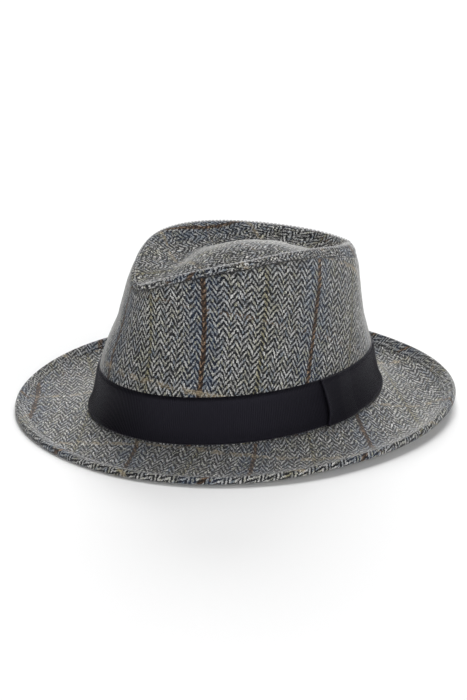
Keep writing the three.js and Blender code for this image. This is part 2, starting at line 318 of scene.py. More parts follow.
def herringbone_group():
    """The weave: five-end ribs of 2/2 twill that turn back at each rib, with a fine overcheck."""
    tree = bpy.data.node_groups.new("herringbone_tweed", "ShaderNodeTree")
    tree_input(tree, "Cloth", "NodeSocketVector")
    tree_input(tree, "Warp Line At", "NodeSocketFloat", 0.0)
    tree_input(tree, "Weft Line At", "NodeSocketFloat", 0.0)
    tree_input(tree, "Warp Spacing", "NodeSocketFloat", WARP_LINES)
    tree_input(tree, "Weft Spacing", "NodeSocketFloat", WEFT_LINES)
    tree_input(tree, "Rubbed", "NodeSocketFloat", 0.0)
    for name, kind in (("Color", "NodeSocketColor"), ("Height", "NodeSocketFloat")):
        tree.interface.new_socket(name, in_out="OUTPUT", socket_type=kind)
    given = tree.nodes.new("NodeGroupInput").outputs
    result = tree.nodes.new("NodeGroupOutput").inputs

    cloth = in_millimetres(tree, given["Cloth"])
    calc, ease, mix, cloud = (
        partial(reckon, tree), partial(between, tree), partial(mixed, tree), partial(noise, tree, cloth))
    times, times_plus, less = (partial(calc, name) for name in ("MULTIPLY", "MULTIPLY_ADD", "SUBTRACT"))
    inverse = partial(less, 1.0)

    def chance(first, second):
        """Three even chances from 0 to 1 for each pair of whole numbers."""
        pair = fed(tree, tree.nodes.new("ShaderNodeCombineXYZ"), {0: first, 1: second})
        node = tree.nodes.new("ShaderNodeTexWhiteNoise")
        node.noise_dimensions = "2D"
        return apart(tree, fed(tree, node, {"Vector": pair[0]})["Color"])

    slow = apart(tree, cloud(0.11, kind="Color"))
    quick = apart(tree, cloud(0.6, kind="Color"))
    # The nap is rubbed up in some places and lies flat in others
    nap_up = times_plus(ease(slow[2], 0.38, 0.62), 1.4, 0.3)
    rubbed = times(given["Rubbed"], nap_up)

    def wandering(value, axis):
        value = times_plus(slow[axis], SLOW_DRIFT[axis], value)
        drift = times_plus(rubbed, RUBBED_DRIFT[axis], QUICK_DRIFT[axis])
        return times_plus(quick[axis], drift, value)

    across, along = (wandering(apart(tree, cloth)[axis], axis) for axis in (0, 1))

    # The warp ends, and how far the twill has shifted at each. The floats of neighbouring ribs are
    # set against each other.
    ends = calc("DIVIDE", across, END_PITCH)
    end_number = calc("FLOOR", ends)
    in_end = calc("FRACT", ends)
    rib = calc("MODULO", calc("FLOOR", calc("DIVIDE", ends, ENDS_IN_RIB)), 2.0)
    stepped = calc("PINGPONG", calc("ADD", end_number, 0.5), ENDS_IN_RIB)
    slanted = calc("PINGPONG", ends, ENDS_IN_RIB)
    shift = times_plus(slanted, 0.5, times(stepped, 0.5))
    phase = times_plus(shift, STEP_OF_TWILL, calc("DIVIDE", along, REPEAT))
    phase = times_plus(rib, RIB_OFFSET, phase)
    phase = times_plus(chance(end_number, rib)[0], PHASE_JITTER, phase)
    float_place = times(calc("PINGPONG", phase, 0.5), 2.0)
    float_chance = chance(end_number, calc("ROUND", phase))
    pick_number = calc("FLOOR", calc("DIVIDE", along, PICK_PITCH))
    pick_chance = chance(end_number, pick_number)
    # The warp lies on top where float_place is low
    ragged = times_plus(cloud(1.3), 0.8, 0.05)
    ragged = times_plus(pick_chance[0], 0.4, less(ragged, 0.2))
    # Where the nap is rubbed up the two yarns show through each other in specks
    specks = less(cloud(0.85), 0.5)
    ragged = times_plus(specks, times(rubbed, 3.2), ragged)
    bare = ease(float_place, less(ragged, 0.09), calc("ADD", ragged, 0.09))
    covered = inverse(bare)
    end_round = calc("SINE", times(in_end, math.pi))
    pick_round = calc("ABSOLUTE", calc("SINE", times(along, math.pi / PICK_PITCH)))
    float_bow = inverse(calc("POWER", float_place, 2.0))
    warp_height = times(times_plus(end_round, 0.45, 0.55), float_bow)
    weft_height = times(inverse(covered), times(pick_round, 0.3))
    height = calc("ADD", times(covered, warp_height), weft_height)
    fibres = cloud(4.2, detail=4.0)
    tree.links.new(times_plus(fibres, 0.6, height), result["Height"])

    # The overcheck: lines of coloured ends and picks, and softer stripes of blue and olive beside them
    def distances_to_lines(number, pitch, line_at, spacing):
        """From a line of the first colour, and from one of the second halfway to the next."""
        halfway = times(spacing, 0.5)
        first = calc("PINGPONG", less(times(number, pitch), line_at), halfway)
        return first, less(halfway, first)

    def is_near(distance, line):
        low, high = HALF_WIDTH[line] - LINE_BLUR, HALF_WIDTH[line] + LINE_BLUR
        return inverse(ease(calc("ABSOLUTE", distance), low, high))

    from_brown, from_olive = distances_to_lines(
        end_number, END_PITCH, given["Warp Line At"], given["Warp Spacing"])
    from_cream, from_russet = distances_to_lines(
        pick_number, PICK_PITCH, given["Weft Line At"], given["Weft Spacing"])
    melange = cloud(0.5, detail=5.0)
    # Each float is a little lighter or darker than the next
    warp = mix(times(calc("POWER", float_chance[0], 1.3), 0.9), LIGHT_YARN, GREY_YARN)
    warp = mix(ease(melange, 0.5, 0.75), warp, GREY_YARN)
    weft = mix(times(calc("POWER", pick_chance[1], 3.0), 0.9), DARK_YARN, SMOKE_YARN)
    bluish = inverse(ease(from_brown, *BLUE_STRIPE))
    bluish = times(bluish, ease(cloud(0.24), 0.3, 0.62))
    warp = mix(times(bluish, 0.5), warp, BLUE_WARP)
    weft = mix(times(bluish, 0.8), weft, BLUE_WEFT)
    mossy = inverse(ease(from_olive, *OLIVE_STRIPE))
    mossy = times(mossy, ease(cloud(0.2), 0.35, 0.65))
    warp = mix(times(mossy, 0.35), warp, MOSS_WARP)
    # Coloured fibres lie scattered through the whole cloth, here more of one colour and there of another
    warp = mix(times(ease(slow[2], 0.52, 0.7), 0.4), warp, MOSS_WARP)
    bluer = inverse(ease(slow[2], 0.3, 0.48))
    warp = mix(times(bluer, 0.3), warp, BLUE_WARP)
    for number, colour in ((1, MOSS_WARP), (2, BLUE_WARP)):
        speck = ease(float_chance[number], 0.88, 0.93)
        warp = mix(times(speck, 0.6), warp, colour)
    fleck = calc("POWER", float_chance[1], 2.2)
    warp = mix(is_near(from_brown, "brown"), warp, mix(fleck, BROWN_YARN, TAN_YARN))
    weft = mix(is_near(from_brown, "brown_weft"), weft, DEEP_BROWN_YARN)
    olive = times(is_near(from_olive, "olive"), times_plus(pick_chance[2], 0.5, 0.4))
    warp = mix(olive, warp, OLIVE_YARN)
    # The lines come and go, because the coloured picks sink between the warp ends
    sunk = ease(cloud(0.16, detail=3.0), 0.4, 0.56)
    cream = times(is_near(from_cream, "cream"), times_plus(pick_chance[2], 0.6, 0.3))
    cream = times(cream, sunk)
    weft = mix(cream, weft, CREAM_YARN)
    warp = mix(times(cream, 0.75), warp, CREAM_YARN)
    russet = times(is_near(from_russet, "russet"), times(pick_chance[2], sunk))
    weft = mix(russet, weft, RUSSET_YARN)
    cloth_colour = mix(covered, weft, warp)
    # Loose fibres blur the two yarns into each other, and the hollows between them are darkened with
    # painted shade, with a random mottle and clots over it
    blur = ease(fibres, 0.25, 0.85)
    cloth_colour = mix(times(blur, 0.12), cloth_colour, LOOSE_FIBRE)
    painted_shade_and_mottle = times_plus(ease(height, 0.0, 0.5), 0.4, 0.6)
    mottle = ease(cloud(1.25, detail=3.0), 0.3, 0.7)
    painted_shade_and_mottle = times(painted_shade_and_mottle, times_plus(mottle, 1.15, 0.42))
    clots = less(ease(cloud(0.55, detail=3.0), 0.36, 0.64), 0.5)
    painted_shade_and_mottle = times(painted_shade_and_mottle, times_plus(clots, times(rubbed, 1.9), 1.0))
    shade = fed(tree, tree.nodes.new("ShaderNodeCombineColor"), {0: painted_shade_and_mottle, 1: painted_shade_and_mottle, 2: painted_shade_and_mottle})[0]
    tree.links.new(mix(1.0, cloth_colour, shade, "MULTIPLY"), result["Color"])
    return tree


HERRINGBONE = herringbone_group()


def tweed(name, lines_at, spacing=(WARP_LINES, WEFT_LINES), rubbed=0.0, painted_sheen_share=1.0):
    """The wool cloth, cut so that a brown and a cream line of its overcheck lie at the given places."""
    material, tree, shader = new_material(name)
    node = tree.nodes.new("ShaderNodeGroup")
    node.node_tree = HERRINGBONE
    weave = fed(tree, node, {
        "Cloth": cloth_place(tree), "Warp Line At": lines_at[0], "Weft Line At": lines_at[1],
        "Warp Spacing": spacing[0], "Weft Spacing": spacing[1], "Rubbed": rubbed,
    })
    # Seen edge-on, the raised ends of the wool fibres cover the weave, and the light that they catch is
    # painted in: a painted sheen mixes the colour towards a light grey, more on the higher yarns
    edge_on = tree.nodes.new("ShaderNodeLayerWeight")
    edge_on.inputs["Blend"].default_value = 0.5
    painted_sheen = reckon(tree, "MULTIPLY", between(tree, edge_on.outputs["Facing"], 0.62, 0.92), painted_sheen_share)
    painted_sheen = reckon(tree, "MULTIPLY", painted_sheen, reckon(tree, "MULTIPLY_ADD", weave["Height"], 0.45, 0.15))
    tree.links.new(mixed(tree, painted_sheen, weave["Color"], PAINTED_FIBRE_SHEEN), shader.inputs["Base Color"])
    add_bump(tree, shader, weave["Height"], 0.3, 0.0006)
    shader.inputs["Roughness"].default_value = 0.92
    shader.inputs["Specular IOR Level"].default_value = 0.2
    shader.inputs["Sheen Weight"].default_value = 0.2
    shader.inputs["Sheen Roughness"].default_value = 0.55
    shader.inputs["Sheen Tint"].default_value = (0.9, 0.9, 0.9, 1)
    return material


PANEL_SIDES = 420
PANEL_ROWS = 84
PANEL_RADIUS = 303.0  # of the curve that the panel is cut to, at the ribbon's top
PARTS_OF_ROW = 20  # how finely the cloth is measured along the crown, from one row to the next
CLOSE_TO_SEAM = 0.02  # of a row
BACK_RADIUS = 97
SEAM_TUCK = 1.5
TUCK_WIDTH = 1.2


def seam_tuck(turn):
    """How deep the seam at the crown's rim draws the cloth in. It is deepest at the wearer's front
    left, and lies nearly flat at the back."""
    return 0.15 + SEAM_TUCK * (0.5 + 0.5 * np.cos(turn - math.radians(40))) ** 3


def rim_fullness(turn, from_seam):
    """The crown is a little fuller round the back of its rim."""
    return 2.0 * (0.5 - 0.5 * np.cos(turn)) ** 2 * bell(from_seam, 9)


def ribbon_top_length(turn):
    """How far round the ribbon's top a turn is, from the front."""
    turns = np.linspace(-np.pi, np.pi, 2001)
    length = running_length(crown_face(RIBBON_TOP_ROW, turns))
    return np.interp(turn, turns, length - np.interp(0, turns, length))


def crown_side_rows(places, turns, offset):
    """Rows of the side panel, with the cloth's unevenness, its tucked top edge and its back seam."""
    place, turn = np.meshgrid(places, turns, indexing="ij")
    face = crown_face(place, turn)
    heights = running_length(face)
    from_seam = heights[-1] - heights
    # The unevenness fades out towards the foot, where the brim and the ribbon hold the cloth
    free = np.clip((place - RIBBON_TOP_ROW) / 1.5, 0, 1)
    uneven = free * (0.5 * ripple(face, 46, 3) + 0.22 * ripple(face, 17, 4))
    tuck = seam_tuck(turn) * bell(from_seam, TUCK_WIDTH)
    # The back seam is a narrow groove, with the turned-in edges a soft rise on both sides of it
    round_back = (np.pi - np.abs(turn)) * BACK_RADIUS
    seam = 0.8 * bell(round_back, 0.9) - 0.25 * bell(round_back - 3.2, 1.8)
    full = rim_fullness(turn, from_seam)
    return off_face(crown_face, place, turn, offset + uneven + full - tuck - seam)


def crown_side():
    turns = np.linspace(-np.pi, np.pi, PANEL_SIDES + 1)
    outer = np.linspace(0, TOP_SEAM_ROW - CLOSE_TO_SEAM, PANEL_ROWS)
    inner = np.linspace(TOP_SEAM_ROW - CLOSE_TO_SEAM, 0, PANEL_ROWS // 3)
    outside = crown_side_rows(outer, turns, 0.0)
    inside = crown_side_rows(inner[::-1], turns, -CROWN_WALL)[::-1]
    rows = np.concatenate([outside, inside])[:, :-1]
    place, turn = np.meshgrid(np.concatenate([outer, inner]), turns, indexing="ij")
    walk = np.linspace(0, TOP_SEAM_ROW, TOP_SEAM_ROW * PARTS_OF_ROW + 1)
    lengths = running_length(crown_face(walk[:, None], turns[None, :]))
    lengths -= lengths[RIBBON_TOP_ROW * PARTS_OF_ROW]
    height = np.stack([np.interp(place[:, k], walk, lengths[:, k]) for k in range(len(turns))], 1)
    angle = ribbon_top_length(turn) / PANEL_RADIUS
    cut = (PANEL_RADIUS - height) * np.sin(angle), PANEL_RADIUS - (PANEL_RADIUS - height) * np.cos(angle)
    return cloth_piece("side_panel", rows, np.stack(cut, -1))


side_panel = crown_side()
side_panel.data.materials.append(tweed("tweed_side_panel", (60.4, 10.8), (73.0, 112.0), rubbed=0.05))
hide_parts("crown_side")
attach(side_panel, "root")


# The top.
# One piece of the same tweed, blocked into a teardrop dent with a low mound in its floor. It stands a
# few millimetres proud of its seam, and a row of stitches holds the fold along the ridge.

WELT_ROWS = 44
DENT_ROWS = 90
RIDGE_ROW = 10
STITCHED_ROW = RIDGE_ROW - 0.15
DENT_ROW = RIDGE_ROW + 0.3  # where the welt has run out
LAST_ROW = 15
MOUND = (0.0, 7.0, 112.4)


def crown_top_rows(places, turns, offset):
    place, turn = np.meshgrid(places, turns, indexing="ij")
    face = crown_face(place, turn)
    from_seam = running_length(face)
    to_ridge = np.array([np.interp(STITCHED_ROW, places, column) for column in from_seam.T])
    inside = np.clip((place - DENT_ROW) / 1.5, 0, 1)
    uneven = inside * (0.7 * ripple(face, 38, 7) + 0.25 * ripple(face, 15, 8))
    tuck = seam_tuck(turn) * bell(from_seam, TUCK_WIDTH)
    welt = 0.5 * bell(from_seam - to_ridge * 0.5, 2.2)
    stitched = 0.55 * bell(from_seam - to_ridge, 0.9)
    full = rim_fullness(turn, from_seam) * np.clip((RIDGE_ROW - place) / 2, 0, 1)
    return off_face(crown_face, place, turn, offset + uneven + full - tuck + welt - stitched)


def crown_top():
    turns = np.linspace(-np.pi, np.pi, PANEL_SIDES + 1)
    # Close rows over the welt, and wider ones in the dent
    outer = np.concatenate([
        np.linspace(TOP_SEAM_ROW + CLOSE_TO_SEAM, DENT_ROW, WELT_ROWS, endpoint=False),
        np.linspace(DENT_ROW, LAST_ROW, DENT_ROWS),
    ])
    outside = crown_top_rows(outer, turns, 0.0)
    underneath = crown_top_rows(outer, turns, -CROWN_WALL)
    # The underside has every third row, from the middle out, and its last row at the seam
    rows = np.concatenate([underneath[::-1][::3][:-1], underneath[:1], outside])
    places = np.concatenate([outer[::-1][::3][:-1], outer[:1], outer])
    pole = np.array(MOUND)
    # Cloth coordinates run from the middle of the mound outwards, as far as the cloth does
    walk = np.linspace(LAST_ROW, TOP_SEAM_ROW, (LAST_ROW - TOP_SEAM_ROW) * PARTS_OF_ROW + 1)
    path = crown_face(walk[:, None], turns[None, :])
    lengths = running_length(path) + np.linalg.norm(path[0] - pole, axis=-1)
    place, turn = np.meshgrid(places, turns, indexing="ij")
    reach = np.stack([np.interp(-places, -walk, column) for column in lengths.T], 1)
    direction = unit(crown_face(place, turn)[..., :2] - pole[:2])
    cloth = direction * reach[..., None]
    poles = np.array([pole - [0, 0, CROWN_WALL], pole]), np.zeros((2, 2))
    return cloth_piece("top", rows[:, :-1], cloth, closed_section=False, poles=poles)


top = crown_top()
top.data.materials.append(tweed("tweed_top", (-48.0, -41.0), rubbed=0.5))
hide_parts("crown_tip")
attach(top, "root")


# The brim.
# Two ovals of the tweed, laid on each other and pressed flat with a stiffener between them, turned up
# at the back and down at the front. Its grain lies across the hat, towards the wearer's left.

BRIM_THICKNESS = 2.2
BINDING_THICKNESS = 1.0
BRIM_SECTIONS = {
    "edge": [-2.5, -1.2, 1.7, 4.6, 3.4],
    "low": [-3, -3.4, -3.8, -4, -4],
    "low_at": [0.8, 0.7, 0.6, 0.54, 0.52],
}
SECTION_TURN = 45
BRIM_OUTLINE = {"front": 153.2, "back": 149.9, "half_width": 142, "corner": 0.95}
# The direction of the brim's ribs at each turn, in degrees from the front towards the wearer's left.
# Pressing has pulled the cloth a little out of square.
GRAIN_TURNS = [-180, -67, -27, 5, 42, 60, 78, 100, 140, 180]
GRAIN = [60, 60, 44, 44, 33, 44, 54, 60, 61, 60]
GRAIN_FROM = 60  # the turn from which the overcheck is placed
BRIM_STRAIGHT = 53
BRIM_DRAWN_OUT = 1.3  # how far pressing stretched the cloth along its ribs
BRIM_RINGS = 56


def brim_section(name, turn):
    values = np.array(BRIM_SECTIONS[name], float)
    place = np.degrees(np.arccos(np.cos(turn))) / SECTION_TURN
    i = np.minimum(np.floor(place), len(values) - 2).astype(int)
    t = np.clip(place - i, 0, 1)
    t = t * t * (3 - 2 * t)
    return values[i] * (1 - t) + values[i + 1] * t


def brim_face(share, turn):
    """Points of the brim's top face, from the crown (share 0) to the brim's edge (1)."""
    share, turn = np.broadcast_arrays(np.asarray(share, float), np.asarray(turn, float))
    foot = np.zeros_like(turn)
    inner = crown_face(foot, turn) + unit(outward(crown_face, foot, turn) * [1, 1, 0]) * GAP
    edge = BINDING_THICKNESS + GAP
    reach = np.where(np.cos(turn) > 0, BRIM_OUTLINE["front"], BRIM_OUTLINE["back"]) - edge
    x = (BRIM_OUTLINE["half_width"] - edge) * signed_power(np.sin(turn), BRIM_OUTLINE["corner"])
    y = -reach * signed_power(np.cos(turn), BRIM_OUTLINE["corner"])
    low, low_at = brim_section("low", turn), brim_section("low_at", turn)
    rise = brim_section("edge", turn) - low
    inside = low * (1 - (1 - share / low_at) ** 2)
    outside = low + rise * ((share - low_at) / (1 - low_at)) ** 2
    z = SEAM_HEIGHT + np.where(share < low_at, inside, outside)
    flat = inner[..., :2] * (1 - share[..., None]) + np.stack([x, y], -1) * share[..., None]
    return np.concatenate([flat, z[..., None]], -1)


def off_brim(share, turn, height):
    """Points over the brim's top face, or under it. The face's outward direction is down."""
    return off_face(brim_face, share, turn, -np.asarray(height, float))


def brim_uneven(share, turn):
    """The brim's soft waves. They fade out at the crown and at the bound edge."""
    face = brim_face(share, turn)
    free = np.clip(share / 0.2, 0, 1) * np.clip((1 - share) / 0.15, 0, 1)
    return free * (0.35 * ripple(face, 60, 11) + 0.15 * ripple(face, 19, 12))


def on_floor(points):
    """Cloth is pressed flat where it rests."""
    return np.concatenate([points[..., :2], np.maximum(points[..., 2:], 0)], -1)


def brim_cut(rows, turns):
    """Where each point of the brim lies on the cloth that it was cut from."""
    # The ribs' direction at every half degree, well past both ends, with the table's corners eased
    around = np.linspace(-540, 540, 2161)
    angles = np.interp((around + 180) % 360 - 180, GRAIN_TURNS, GRAIN)
    blur = bell(np.arange(-24, 25), 12)
    angles = np.convolve(angles, blur / blur.sum(), "same")
    grain = np.radians(np.interp(np.degrees(turns), around, angles))
    middle = brim_face(0.5, turns)[:, :2]

    def along_grain(flat, angle):
        x, y = flat[..., 0], flat[..., 1]
        return np.stack([x * np.cos(angle) + y * np.sin(angle), x * np.sin(angle) - y * np.cos(angle)], -1)

    steps = along_grain(np.diff(middle, axis=0), (grain[1:] + grain[:-1]) / 2)
    walked = np.concatenate([np.zeros((1, 2)), np.cumsum(steps, axis=0)])
    start = np.argmin(np.abs(np.degrees(turns) - GRAIN_FROM))
    walked += along_grain(middle[start], np.radians(BRIM_STRAIGHT)) - walked[start]
    return (walked + along_grain(rows[..., :2] - middle, grain)) / [1, BRIM_DRAWN_OUT]


def brim_cloth():
    turns = np.linspace(-np.pi, np.pi, PANEL_SIDES + 1)
    upper = np.linspace(0, 1, BRIM_RINGS)
    lower = np.linspace(1, 0, BRIM_RINGS // 2)
    share, turn = np.meshgrid(np.concatenate([upper, lower]), turns, indexing="ij")
    depth = np.where(np.arange(len(share)) < BRIM_RINGS, 0, BRIM_THICKNESS)[:, None]
    rows = off_brim(share, turn, brim_uneven(share, turn) - depth)
    rows[BRIM_RINGS:] = on_floor(rows[BRIM_RINGS:])
    # The cut edge inside the hat stands upright
    rows[-1] = brim_face(0, turns) - [0, 0, BRIM_THICKNESS]
    return cloth_piece("brim_cloth", rows[:, :-1], brim_cut(rows, turns))


brim = brim_cloth()
brim.data.materials.append(tweed("tweed_brim", (5.5, -43.8), (WARP_LINES, 64.6), rubbed=0.35, painted_sheen_share=0.8))
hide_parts("brim")
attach(brim, "root")


# The binding.
# A bias-cut strip of the tweed, folded over the brim's edge and sewn through with one row of stitches.
# The strip puckers a little at each stitch.

BINDING_WIDTH = 6.5
# How far in from the brim's edge, and how high over the brim, the outer face of the upper flap runs
FLAP = [
    (BINDING_WIDTH, 0.1), (6.42, 0.3), (6.15, 0.5), (5.75, 0.64), (5.3, 0.66), (4.85, 0.62), (4.4, 0.74),
    (3.8, 0.96), (3.0, 1.16), (2.0, 1.28), (1.0, 1.3), (0.0, 1.22),
]
FOLD_ANGLES = np.linspace(70, -70, 8)  # round the fold, from above the brim's edge to below it
FOLD_WIDTH = 5.0  # of the cloth that goes round the fold
INNER_INSETS = (3.2, 6.3)
INNER_GAP = 0.05
EDGE_GAP = 0.15
STITCH_INSET = 4.8  # from the brim's edge
STITCH_PITCH = 3.5
STITCHES_ROUND = 266
POINTS_TO_STITCH = 4
PUCKER = 0.18


def even_turns(line, count):
    """Turns that are evenly spaced along a line round the hat, both ends included."""
    turns = np.linspace(-np.pi, np.pi, 4001)
    length = running_length(line(turns))
    return np.interp(np.linspace(0, length[-1], count + 1), length, turns)


def brim_edge(turn):
    return brim_face(1, turn)


def brim_width(turn):
    return np.linalg.norm(brim_face(0, turn) - brim_edge(turn), axis=-1)


def binding_section(turn, position):
    """The binding's outer loop and inner loop at each turn, with the distance across the strip."""
    width = brim_width(turn)
    beyond = unit(brim_edge(turn) - brim_face(1 - 1e-3, turn))
    pucker = PUCKER * np.cos(2 * np.pi * position / STITCH_PITCH)
    lower_from = BINDING_WIDTH + FOLD_WIDTH
    rows, across = [], []

    def add(walked, height, inset=0.0, out=0.0):
        rows.append(off_brim(1 - inset / width, turn, height) + beyond * out)
        across.append(np.full_like(turn, walked))

    def dip(inset):
        return pucker * bell(inset - STITCH_INSET, 1.0)

    for inset, height in FLAP:
        add(BINDING_WIDTH - inset, height - dip(inset), inset)
    half = BRIM_THICKNESS / 2
    around = GAP + BINDING_THICKNESS
    for angle in FOLD_ANGLES:
        lift = (half + around) * math.sin(math.radians(angle)) * 0.98 - half
        walked = (FOLD_ANGLES[0] - angle) / (FOLD_ANGLES[0] - FOLD_ANGLES[-1]) * FOLD_WIDTH
        add(BINDING_WIDTH + walked, lift, out=around * math.cos(math.radians(angle)))
    for inset, height in FLAP[::-1]:
        add(lower_from + inset, -BRIM_THICKNESS - (height - dip(inset)), inset)
    for inset in INNER_INSETS[::-1]:
        add(lower_from + inset, -BRIM_THICKNESS - INNER_GAP, inset)
    add(lower_from, -BRIM_THICKNESS, out=EDGE_GAP)
    add(BINDING_WIDTH, 0, out=EDGE_GAP)
    for inset in INNER_INSETS:
        add(BINDING_WIDTH - inset, INNER_GAP, inset)
    return on_floor(np.array(rows)), np.array(across)


def binding_strip():
    turns = even_turns(brim_edge, STITCHES_ROUND * POINTS_TO_STITCH)
    position = np.linspace(0, STITCHES_ROUND * STITCH_PITCH, len(turns))
    rows, across = binding_section(turns, position)
    bias = math.sqrt(0.5)
    cut = (position[None, :] + across) * bias, (position[None, :] - across) * bias
    return cloth_piece("edge_binding", rows[:, :-1], np.stack(cut, -1))


binding = binding_strip()
binding.data.materials.append(tweed("tweed_binding", (20.0, 30.0), painted_sheen_share=0.2))
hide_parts("brim_binding")
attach(binding, "root")


# The stitches.
# Grey thread in short straight stitches: one row through the binding, seen above and below the brim,
# and one along the ridge of the crown.

THREAD = 0.55
STITCH_LENGTH = 2.7
IN_BINDING = 0.56  # how far off the brim the middle of the thread lies
OVER_FLOOR = 0.418
RIDGE_THREAD = 0.7
RIDGE_PITCH = 2.9


def stitch_tree():
    """Stitches at an even pitch along a line of points, each turned along the line and off the cloth."""
    tree = bpy.data.node_groups.new("row_of_stitches", "GeometryNodeTree")
    tree_input(tree, "Geometry", "NodeSocketGeometry")
    tree_input(tree, "Stitch Pitch", "NodeSocketFloat", STITCH_PITCH / 1000)
    tree_input(tree, "Stitch Length", "NodeSocketFloat", STITCH_LENGTH / 1000)
    tree_input(tree, "Thread Thickness", "NodeSocketFloat", THREAD / 1000)
    tree_input(tree, "Unevenness", "NodeSocketFloat", 0.12)
    tree_input(tree, "Thread", "NodeSocketMaterial")
    tree.interface.new_socket("Geometry", in_out="OUTPUT", socket_type="NodeSocketGeometry")
    given = tree.nodes.new("NodeGroupInput").outputs

    def add(kind, inputs):
        return fed(tree, tree.nodes.new(kind), inputs)

    curve = add("GeometryNodeMeshToCurve", {"Mesh": given["Geometry"]})[0]
    even = tree.nodes.new("GeometryNodeResampleCurve")
    even.mode = "LENGTH"
    even = fed(tree, even, {"Curve": curve, "Length": given["Stitch Pitch"]})[0]
    stitch = add("GeometryNodeMeshUVSphere", {"Segments": 6, "Rings": 5, "Radius": 0.5})["Mesh"]
    thickness = given["Thread Thickness"]
    shape = add("ShaderNodeCombineXYZ", {0: given["Stitch Length"], 1: thickness, 2: thickness})[0]
    stitch = add("GeometryNodeTransform", {"Geometry": stitch, "Scale": shape})[0]
    lengthwise = tree.nodes.new("FunctionNodeAlignRotationToVector")
    lengthwise.axis = "X"
    tangent = add("GeometryNodeInputTangent", {})[0]
    lengthwise = fed(tree, lengthwise, {"Vector": tangent})[0]
    off_cloth = tree.nodes.new("GeometryNodeInputNamedAttribute")
    off_cloth.data_type = "FLOAT_VECTOR"
    off_cloth = fed(tree, off_cloth, {"Name": "off_cloth"})["Attribute"]
    upright = tree.nodes.new("FunctionNodeAlignRotationToVector")
    upright.axis = "Z"
    upright.pivot_axis = "X"
    upright = fed(tree, upright, {"Rotation": lengthwise, "Vector": off_cloth})[0]
    least = reckon(tree, "SUBTRACT", 1, given["Unevenness"])
    sizes = tree.nodes.new("FunctionNodeRandomValue")
    sizes.data_type = "FLOAT"
    size = fed(tree, sizes, {2: least, 3: 1, "Seed": 5})[1]
    placed = add("GeometryNodeInstanceOnPoints", {
        "Points": even, "Instance": stitch, "Rotation": upright, "Scale": size})[0]
    real = add("GeometryNodeRealizeInstances", {0: placed})[0]
    finished = add("GeometryNodeSetMaterial", {"Geometry": real, "Material": given["Thread"]})[0]
    tree.links.new(finished, tree.nodes.new("NodeGroupOutput").inputs[0])
    return tree


STITCHES = stitch_tree()


def thread_material():
    material, tree, shader = new_material("grey_thread")
    place = tree.nodes.new("ShaderNodeTexCoord").outputs["Object"]
    tone = noise(tree, place, 900)
    tree.links.new(mixed(tree, tone, (0.3, 0.3, 0.31), (0.62, 0.62, 0.62)), shader.inputs["Base Color"])
    add_bump(tree, shader, noise(tree, place, 2500), 0.3, 0.0001)
    shader.inputs["Roughness"].default_value = 0.7
    shader.inputs["Sheen Weight"].default_value = 0.2
    return material


THREAD_GREY = thread_material()


def through_tree(piece, tree, **inputs):
    """Gives the piece the mesh that a node tree makes of its own, with the tree's named inputs set."""
    modifier = piece.modifiers.new(tree.name, "NODES")
    modifier.node_group = tree
    for item in tree.interface.items_tree:
        key = item.name.lower().replace(" ", "_")
        if item.item_type == "SOCKET" and item.in_out == "INPUT" and key in inputs:
            modifier[item.identifier] = inputs[key]
    bpy.context.view_layer.update()
    evaluated = piece.evaluated_get(bpy.context.evaluated_depsgraph_get())
    made = bpy.data.meshes.new_from_object(evaluated)
    piece.modifiers.clear()
    old = piece.data
    piece.data = made
    made.name = piece.name
    bpy.data.meshes.remove(old)
    return piece


def row_of_stitches(name, points, directions, **inputs):
    """Stitches along a closed line of points (mm), each with the direction off the cloth."""
    count = len(points)
    mesh = bpy.data.meshes.new(name)
    place = in_frame(points + directions * THREAD / 4)
    mesh.from_pydata(place.tolist(), [[i, (i + 1) % count] for i in range(count)], [])
    off = mesh.attributes.new("off_cloth", "FLOAT_VECTOR", "POINT")
    off.data.foreach_set("vector", directions.astype(np.float32).ravel())
    piece = in_scene(name, mesh)
    through_tree(piece, STITCHES, thread=THREAD_GREY, **inputs)
    piece.data.shade_smooth()
    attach(piece, "root")


def binding_stitches(name, side):
    """side is 1 for the stitches seen from above and -1 for those seen from below."""
    turns = even_turns(brim_edge, STITCHES_ROUND * 2)[:-1]
    share = 1 - STITCH_INSET / brim_width(turns)
    half = BRIM_THICKNESS / 2
    points = off_brim(share, turns, side * (half + IN_BINDING) - half)
    points[:, 2] = np.maximum(points[:, 2], OVER_FLOOR)
    row_of_stitches(name, points, -side * outward(brim_face, share, turns))


def ridge_stitches():
    turns = np.linspace(-np.pi, np.pi, 721)[:-1]
    place = np.full_like(turns, STITCHED_ROW)
    points = off_face(crown_face, place, turns, -0.05)
    directions = outward(crown_face, place, turns)
    row_of_stitches(
        "ridge_stitches", points, directions,
        stitch_pitch=RIDGE_PITCH / 1000, thread_thickness=RIDGE_THREAD / 1000)


binding_stitches("binding_stitches_above", 1)
binding_stitches("binding_stitches_below", -1)
ridge_stitches()


# The ribbon.
# Black grosgrain, ribbed across its width, drawn round the foot of the crown and sewn on by its lower
# edge. It follows the crown and stands out a little more at its foot.

RIBBON_THICKNESS = 1.2
RIBBON_FOOT_ROW = 0.95
RIBBON_MIDDLE_ROW = 2.5
RIBBON_ROWS = 15
RIB_PITCH = 1.25
RIB_DEPTH = 0.12
RIBS_ROUND = 462
POINTS_TO_RIB = 4
THREAD_OF_RIBBON = 0.42
SELVEDGE = {"share": 0.45, "rise": 3.2, "over": 0.8}  # how fast the ribbon thickens from its edges
CLOTH_TO_ROW = 10


